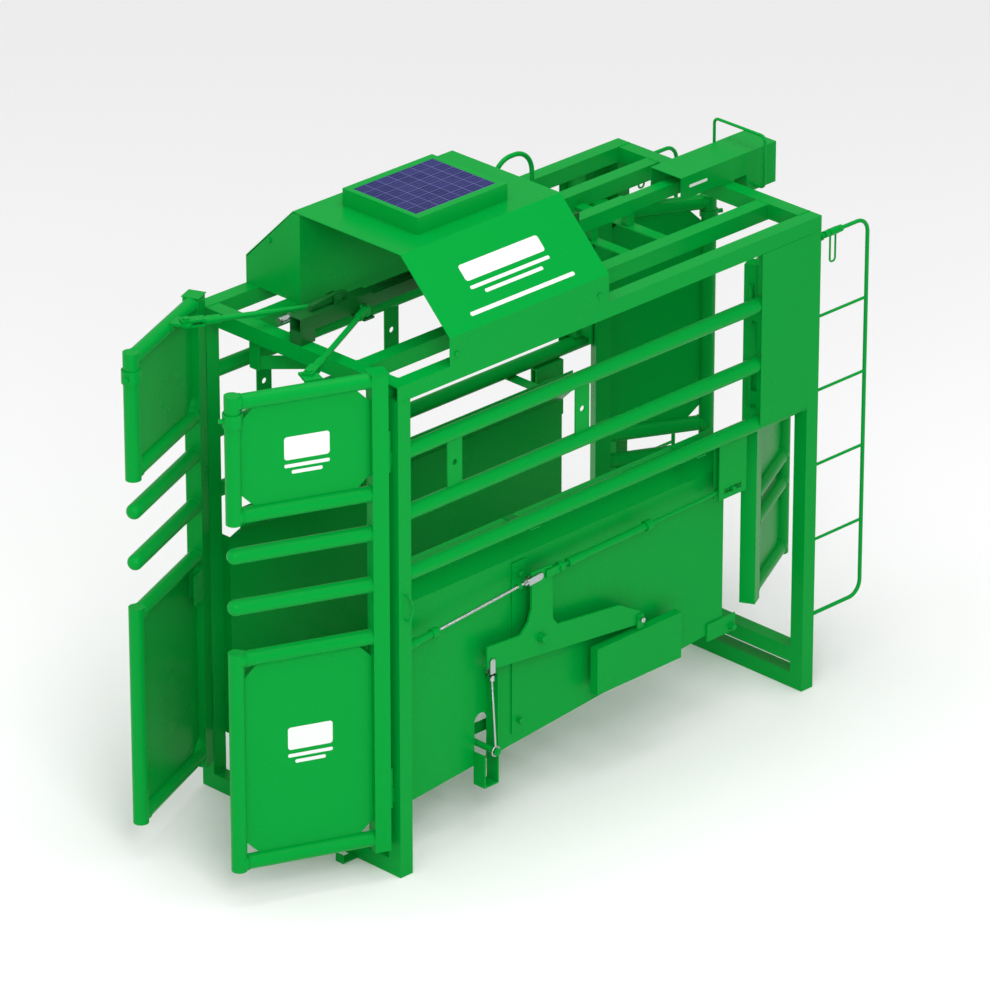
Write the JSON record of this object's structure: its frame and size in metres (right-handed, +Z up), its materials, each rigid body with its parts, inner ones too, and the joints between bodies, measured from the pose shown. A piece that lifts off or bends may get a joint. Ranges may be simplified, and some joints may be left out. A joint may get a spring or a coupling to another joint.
{
  "type": "cattle squeeze chute",
  "caption": "Green welded cattle squeeze chute with twin head gate doors, twin tail gate doors, weighted floor linkage, hood and solar box.",
  "frame": {"origin": "on the ground, in the middle of the footprint of the four corner posts", "axes": "+Z up; +Y towards the tail gate, along the length; +X across, towards the near side"},
  "size_m": [1.1424, 3.185, 2.449],
  "materials": {
    "green_paint": "gloss",
    "bright_steel": "satin",
    "black_plastic": "matte",
    "solar_glass": "gloss"
  },
  "bodies": {
    "frame": {"axle_guides": "green_paint", "bottom_cross_rails": "green_paint", "control_box": "black_plastic", "control_compartment": "green_paint", "corner_posts": "green_paint", "cross_top_rails": "green_paint", "door_hinge_lugs": "green_paint", "drilled_straps": "green_paint", "hanging_strap": "green_paint", "hood_fixings": "green_paint", "hood_shell": "green_paint", "inner_top_rails": "green_paint", "linkage_pivots": "green_paint", "post_hooks": "green_paint", "rail_arch": "green_paint", "rear_ladders": "green_paint", "rear_side_sheets": "green_paint", "release_cover": "green_paint", "rod_guides": "green_paint", "sheet_straps": "green_paint", "side_pipe_rails": "green_paint", "side_sheet_far": "green_paint", "side_sheet_near": "green_paint", "side_top_rails": "green_paint", "slide_housing": "green_paint", "slide_spring": "bright_steel", "solar_box": "green_paint", "solar_panel": "solar_glass", "spring_rod": "bright_steel", "tail_latch_plates": "green_paint", "tail_uprights": "green_paint", "top_beam": "green_paint"},
    "head_door_near": {"head_door_frame_near": "green_paint", "head_door_panels_near": "green_paint"},
    "head_door_far": {"head_door_frame_far": "green_paint", "head_door_panels_far": "green_paint"},
    "head_slide": {"head_slide_bar": "green_paint"},
    "tie_near": {"tie_rod_near": "green_paint"},
    "tie_far": {"tie_rod_far": "green_paint"},
    "hold_lever": {"hold_lever": "green_paint"},
    "floor": {"floor_tread": "green_paint", "floor_axle": "green_paint"},
    "crank_near": {"bell_crank_near": "green_paint", "counterweight_near": "green_paint"},
    "crank_far": {"bell_crank_far": "green_paint", "counterweight_far": "green_paint"},
    "link_near": {"eye_link_near": "bright_steel"},
    "link_far": {"eye_link_far": "bright_steel"},
    "front_rod_near": {"front_rod_near": "green_paint"},
    "front_rod_far": {"front_rod_far": "green_paint"},
    "rear_rod_near": {"rear_rod_near": "green_paint"},
    "rear_rod_far": {"rear_rod_far": "green_paint"},
    "tail_door_near": {"tail_door_frame_near": "green_paint", "tail_door_panels_near": "green_paint"},
    "tail_door_far": {"tail_door_frame_far": "green_paint", "tail_door_panels_far": "green_paint"},
    "release_bail": {"release_bail": "green_paint"},
    "wire_loop_near": {"wire_loop_near": "green_paint"},
    "wire_loop_far": {"wire_loop_far": "green_paint"}
  },
  "joints": [
    {"name": "head_door_near_hinge", "type": "hinge", "parent": "frame", "child": "head_door_near", "pos_m": [0.50541, -1.14334, 1.0645], "axis": [0, 0, 1], "range_deg": [-16, 15]},
    {"name": "head_door_far_hinge", "type": "hinge", "parent": "frame", "child": "head_door_far", "pos_m": [-0.50541, -1.14334, 1.0645], "axis": [0, 0, -1], "range_deg": [-16, 15]},
    {"name": "head_slide_travel", "type": "slide", "parent": "frame", "child": "head_slide", "axis": [0, 1, 0], "range_m": [-0.07642, 0.08148]},
    {"name": "tie_near_pivot", "type": "hinge", "parent": "head_slide", "child": "tie_near", "pos_m": [0.052, -0.821, 2.075], "axis": [0, 0, 1], "range_deg": [-6.6, 6.19]},
    {"name": "tie_far_pivot", "type": "hinge", "parent": "head_slide", "child": "tie_far", "pos_m": [-0.052, -0.821, 2.075], "axis": [0, 0, -1], "range_deg": [-6.6, 6.19]},
    {"name": "hold_lever_pivot", "type": "hinge", "parent": "frame", "child": "hold_lever", "pos_m": [0, -0.93, 2.146], "axis": [1, 0, 0], "range_deg": [-7, 4]},
    {"name": "floor_hinge", "type": "hinge", "parent": "frame", "child": "floor", "pos_m": [0, 0.76, 0.361], "axis": [1, 0, 0], "range_deg": [-1.4, 1.4]},
    {"name": "crank_near_pivot", "type": "hinge", "parent": "frame", "child": "crank_near", "pos_m": [0.495, -0.345, 0.717], "axis": [1, 0, 0], "range_deg": [-7.37, 7.37]},
    {"name": "link_near_pivot", "type": "hinge", "parent": "crank_near", "child": "link_near", "pos_m": [0.495, -0.607, 0.706], "axis": [1, 0, 0], "range_deg": [-7.49, 7.49]},
    {"name": "front_rod_near_travel", "type": "slide", "parent": "frame", "child": "front_rod_near", "axis": [0, -0.9965, -0.0838], "range_m": [-0.03324, 0.03324]},
    {"name": "rear_rod_near_travel", "type": "slide", "parent": "frame", "child": "rear_rod_near", "axis": [0, -0.9997, -0.024], "range_m": [-0.03275, 0.03275]},
    {"name": "crank_far_pivot", "type": "hinge", "parent": "frame", "child": "crank_far", "pos_m": [-0.495, -0.345, 0.717], "axis": [1, 0, 0], "range_deg": [-7.37, 7.37]},
    {"name": "link_far_pivot", "type": "hinge", "parent": "crank_far", "child": "link_far", "pos_m": [-0.495, -0.607, 0.706], "axis": [1, 0, 0], "range_deg": [-7.49, 7.49]},
    {"name": "front_rod_far_travel", "type": "slide", "parent": "frame", "child": "front_rod_far", "axis": [0, -0.9965, -0.0838], "range_m": [-0.03324, 0.03324]},
    {"name": "rear_rod_far_travel", "type": "slide", "parent": "frame", "child": "rear_rod_far", "axis": [0, -0.9997, -0.024], "range_m": [-0.03275, 0.03275]},
    {"name": "tail_door_near_hinge", "type": "hinge", "parent": "frame", "child": "tail_door_near", "pos_m": [0.42707, 0.86558, 1.13], "axis": [0, 0, 1], "range_deg": [-10, 22]},
    {"name": "tail_door_far_hinge", "type": "hinge", "parent": "frame", "child": "tail_door_far", "pos_m": [-0.42707, 0.86558, 1.13], "axis": [0, 0, -1], "range_deg": [-10, 22]},
    {"name": "release_bail_pivot", "type": "hinge", "parent": "frame", "child": "release_bail", "pos_m": [0, 1.245, 1.972], "axis": [-1, 0, 0], "range_deg": [0, 45]},
    {"name": "wire_loop_near_pivot", "type": "hinge", "parent": "frame", "child": "wire_loop_near", "pos_m": [0.5115, 1.23, 1.91], "axis": [0, 1, 0], "range_deg": [-60, 60]},
    {"name": "wire_loop_far_pivot", "type": "hinge", "parent": "frame", "child": "wire_loop_far", "pos_m": [-0.5115, 1.23, 1.91], "axis": [0, 1, 0], "range_deg": [-60, 60]}
  ],
  "couplings": [
    {"joint": "head_door_far_hinge", "follows": "head_door_near_hinge", "ratio": 1},
    {"joint": "head_slide_travel", "follows": "head_door_near_hinge", "m_per_rad": -0.29},
    {"joint": "tie_near_pivot", "follows": "head_door_near_hinge", "ratio": 0.406},
    {"joint": "tie_far_pivot", "follows": "head_door_near_hinge", "ratio": 0.406},
    {"joint": "crank_near_pivot", "follows": "floor_hinge", "ratio": 5.19},
    {"joint": "link_near_pivot", "follows": "floor_hinge", "ratio": -5.275},
    {"joint": "front_rod_near_travel", "follows": "floor_hinge", "m_per_rad": 1.34},
    {"joint": "rear_rod_near_travel", "follows": "floor_hinge", "m_per_rad": 1.32},
    {"joint": "crank_far_pivot", "follows": "floor_hinge", "ratio": 5.19},
    {"joint": "link_far_pivot", "follows": "floor_hinge", "ratio": -5.275},
    {"joint": "front_rod_far_travel", "follows": "floor_hinge", "m_per_rad": 1.34},
    {"joint": "rear_rod_far_travel", "follows": "floor_hinge", "m_per_rad": 1.32},
    {"joint": "tail_door_far_hinge", "follows": "tail_door_near_hinge", "ratio": 1}
  ]
}
